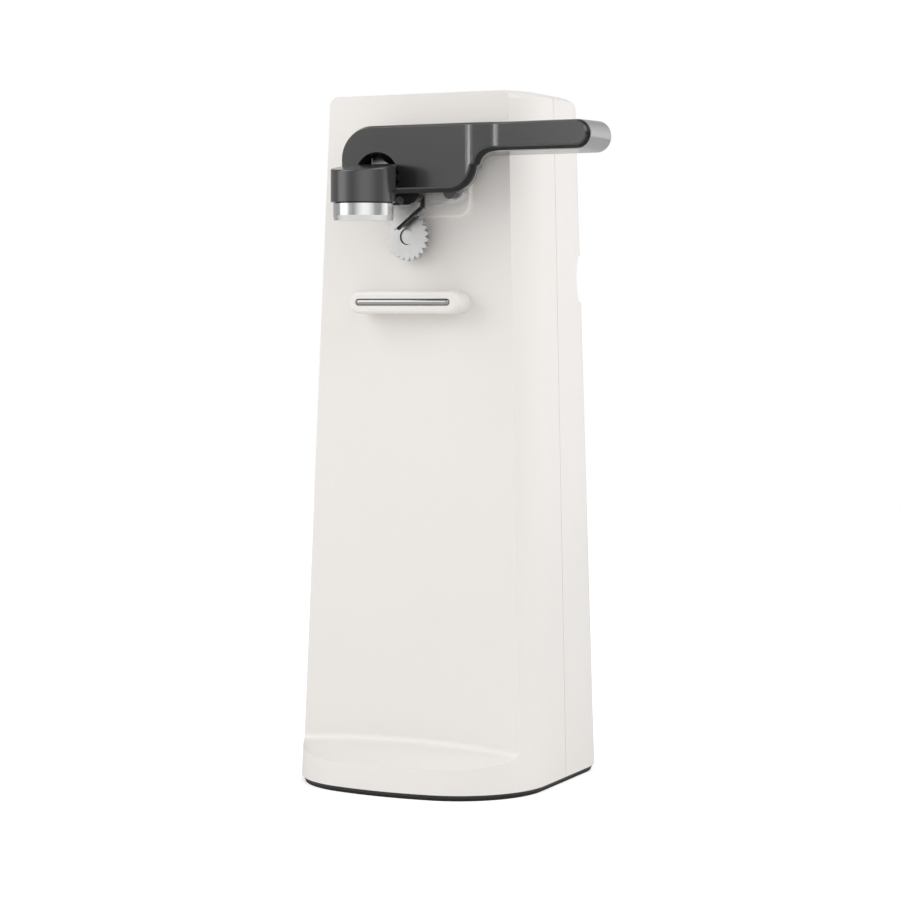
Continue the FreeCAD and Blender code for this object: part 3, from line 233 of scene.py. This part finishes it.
# %% Lined metal
lined_metal, metal_in, metal_out = new_group(
    "lined_metal",
    [("Colour", COLOUR, (0.6, 0.6, 0.6, 1)), ("Stretch", VECTOR, (1.0, 1.0, 1.0)),
     ("Line Scale", FLOAT, 400.0), ("Line Shade", FLOAT, 0.15), ("Gloss Roughness", FLOAT, 0.3),
     ("Gloss Drift", FLOAT, 0.15)],
    [("Colour", COLOUR), ("Roughness", FLOAT), ("Height", FLOAT)])
mapping = lined_metal.nodes.new("ShaderNodeMapping")
mapping.vector_type = "POINT"
spot = lined_metal.nodes.new("ShaderNodeTexCoord").outputs["Object"]
lined_metal.links.new(spot, mapping.inputs["Vector"])
lined_metal.links.new(metal_in.outputs["Stretch"], mapping.inputs["Scale"])
lines = noise_node(lined_metal, mapping.outputs["Vector"], metal_in.outputs["Line Scale"], 3.0)
spread = math_node(lined_metal, "SUBTRACT", lines, 0.5)
tone = lined_metal.nodes.new("ShaderNodeHueSaturation")
value = math_node(lined_metal, "MULTIPLY", spread, metal_in.outputs["Line Shade"])
lined_metal.links.new(math_node(lined_metal, "ADD", value, 1.0), tone.inputs["Value"])
lined_metal.links.new(metal_in.outputs["Colour"], tone.inputs["Color"])
lined_metal.links.new(tone.outputs["Color"], metal_out.inputs["Colour"])
polish = math_node(lined_metal, "MULTIPLY", spread, metal_in.outputs["Gloss Drift"])
lined_metal.links.new(math_node(lined_metal, "ADD", polish, metal_in.outputs["Gloss Roughness"]),
                      metal_out.inputs["Roughness"])
lined_metal.links.new(lines, metal_out.inputs["Height"])
print("shared effects:", [group.name for group in bpy.data.node_groups])

# %% Build a material from one of the effects


def finish_from(name, effect, values, bump, **sockets):
    """A Principled material fed by a shared effect; plain values go straight on its sockets."""
    material = bpy.data.materials.new(name)
    material.use_nodes = True
    tree = material.node_tree
    shader = tree.nodes["Principled BSDF"]
    source = tree.nodes.new("ShaderNodeGroup")
    source.node_tree = effect
    for label, amount in values.items():
        source.inputs[label].default_value = amount
    tree.links.new(source.outputs["Colour"], shader.inputs["Base Color"])
    tree.links.new(source.outputs["Roughness"], shader.inputs["Roughness"])
    relief = tree.nodes.new("ShaderNodeBump")
    relief.inputs["Distance"].default_value = bump
    tree.links.new(source.outputs["Height"], relief.inputs["Height"])
    tree.links.new(relief.outputs["Normal"], shader.inputs["Normal"])
    for label, amount in sockets.items():
        shader.inputs[label.replace("_", " ")].default_value = amount
    return material


def plastic(name, colour, roughness, grain_scale=900.0, bump=0.00002, **values):
    settings = {"Colour": (*colour, 1), "Gloss Roughness": roughness, "Grain Scale": grain_scale}
    return finish_from(name, moulded_skin, settings, bump, **values)


def metal(name, colour, roughness, stretch=(1, 1, 1), line_scale=400.0, bump=0.00001, **values):
    settings = {"Colour": (*colour, 1), "Gloss Roughness": roughness, "Stretch": stretch,
                "Line Scale": line_scale}
    return finish_from(name, lined_metal, settings, bump, Metallic=1.0, **values)


# %% [markdown]
# ## Finishes
# Every slot of the record gets its own finish.

# %% Make the finishes
POLISHED_RELIEF = 0.000002
GROUND_LINES = {"stretch": (1, 1, 0.3), "bump": 0.000004}
finishes = {
    "warm_white": plastic("warm_white_shell", (0.78, 0.755, 0.725), 0.3),
    "charcoal": plastic("charcoal_moulding", (0.015, 0.015, 0.0153), 0.2, Specular_IOR_Level=0.8),
    # Painted shade: the near-black trim finish on the lever's lower rim and the blade spacer stands
    # in for the shade and dark reflections under the lever's edge and in the gap beside the blade.
    "black_trim": plastic("painted_shade_black_moulding", (0.008, 0.008, 0.008), 0.3, Specular_IOR_Level=0.25),
    "handle_metal": metal("handle_plate", (0.4, 0.4, 0.4), 0.22, stretch=(0.2, 1, 1),
                          bump=POLISHED_RELIEF),
    "rod_steel": metal("polished_rod", (0.36, 0.36, 0.355), 0.2, stretch=(0.05, 1, 1),
                       bump=POLISHED_RELIEF),
    "blade_steel": metal("hardened_blade", (0.66, 0.66, 0.655), 0.34, **GROUND_LINES),
    "clip_steel": metal("spring_steel_clip", (0.2, 0.2, 0.2), 0.35, bump=0.000004),
    "cup_charcoal": plastic("charcoal_cup", (0.03, 0.03, 0.0305), 0.2, Specular_IOR_Level=1.0),
    "dark_base": plastic("dark_base_moulding", (0.02, 0.02, 0.02), 0.55),
    "foot_rubber": plastic("foot_rubber", (0.015, 0.015, 0.015), 0.8, grain_scale=2500.0),
    "bright_metal": metal("bright_plate", (0.72, 0.72, 0.715), 0.12, bump=0.000003),
    "plate_steel": metal("zinc_sheet", (0.58, 0.58, 0.57), 0.38, stretch=(0.1, 1, 1)),
    "hard_steel": metal("ground_steel", (0.59, 0.59, 0.585), 0.32, **GROUND_LINES),
    "screw_steel": metal("zinc_screw", (0.5, 0.5, 0.49), 0.35),
    "bush_bronze": metal("sintered_bronze", (0.55, 0.38, 0.17), 0.45, line_scale=1500.0),
    "gear_nylon": plastic("natural_nylon", (0.72, 0.69, 0.60), 0.45, Subsurface_Weight=0.1),
    "lamination": metal("stacked_laminations", (0.30, 0.30, 0.31), 0.5, stretch=(0.05, 6, 0.05)),
    "copper_wire": metal("enamelled_copper", (0.55, 0.22, 0.08), 0.3, stretch=(6, 0.05, 0.05)),
    "bobbin_plastic": plastic("bobbin_nylon", (0.65, 0.62, 0.52), 0.5),
    "rotor_metal": metal("cast_rotor", (0.6, 0.6, 0.6), 0.4),
    "fan_plastic": plastic("fan_moulding", (0.05, 0.05, 0.055), 0.5),
    "abrasive": plastic("bonded_grit", (0.24, 0.22, 0.20), 0.95, grain_scale=3500.0, bump=0.0002),
    "switch_plastic": plastic("switch_phenolic", (0.02, 0.02, 0.022), 0.45),
    "button_red": plastic("button_acetal", (0.4, 0.02, 0.015), 0.35),
}

# %% Put each finish on its parts
slot_of = {entry["node"]: entry["material_slot"] for entry in frame["record"]["subparts"]}
for name, part in nodes.items():
    part.data.materials.clear()
    part.data.materials.append(finishes[slot_of[name]])
print("finished parts:", len(slot_of))
